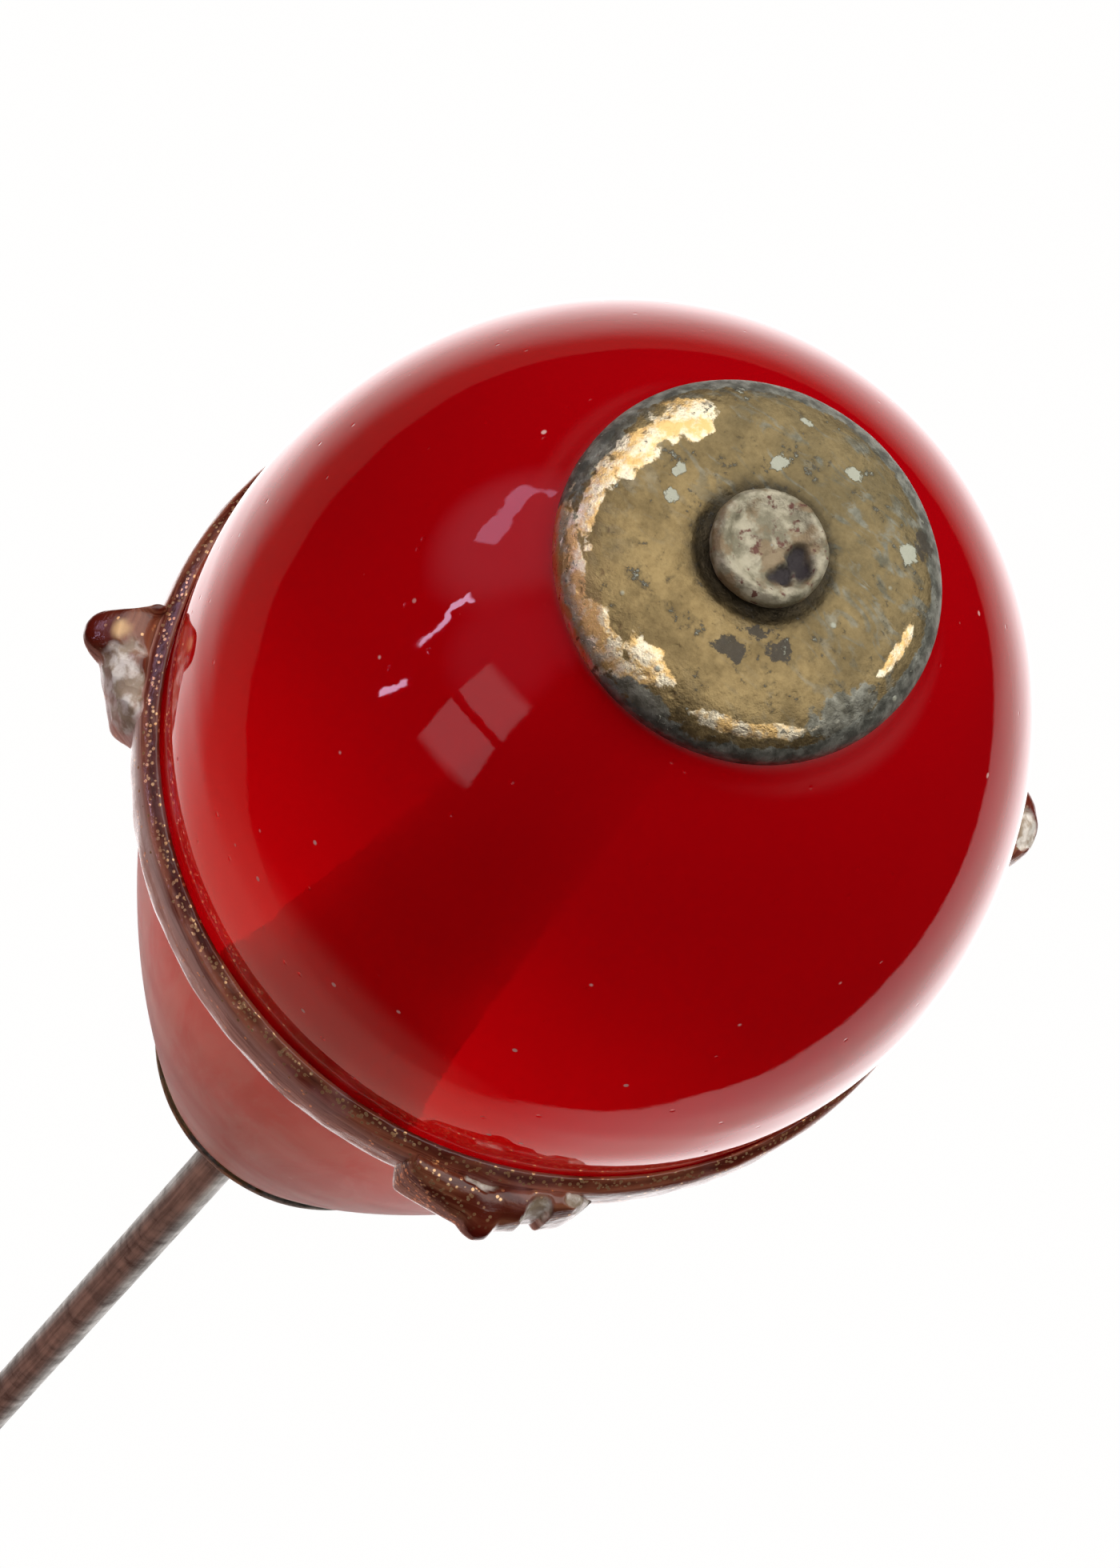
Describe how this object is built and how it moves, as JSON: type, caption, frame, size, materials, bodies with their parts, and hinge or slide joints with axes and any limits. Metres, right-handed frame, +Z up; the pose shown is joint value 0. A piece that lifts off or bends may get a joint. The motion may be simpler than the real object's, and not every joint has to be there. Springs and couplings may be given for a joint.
{
  "type": "hat pin",
  "caption": "Long steel hat pin with a ruby glass head, pierced and riveted between two domed brass caps, its waist wound with a goldstone trail drawn out into points.",
  "frame": {"origin": "on the shank's axis, at the flat underside of the lower cap, where the head meets the hat", "axes": "+Z up along the shank towards the riveted top of the head; the shank runs down to -Z; the point nearest +X lies 41 degrees from it towards +Y"},
  "size_m": [0.0179, 0.0176, 0.1842],
  "materials": {
    "shank_steel": "browned, worn, ground point",
    "gilt_brass": "gilt wash worn through, tarnished, verdigris specks",
    "solder": "dull grey soft solder",
    "ruby_glass": "polished, with small pits and specks",
    "goldstone": "glossy with copper sparkle, chipped"
  },
  "bodies": {
    "root": {"pin_shank": "shank_steel", "upper_cap": "gilt_brass", "lower_cap": "gilt_brass", "solder_fillet": "solder", "glass_head": "ruby_glass", "goldstone_trail": "goldstone", "point_east": "goldstone", "point_north": "goldstone", "point_west": "goldstone", "point_south": "goldstone"}
  },
  "joints": []
}
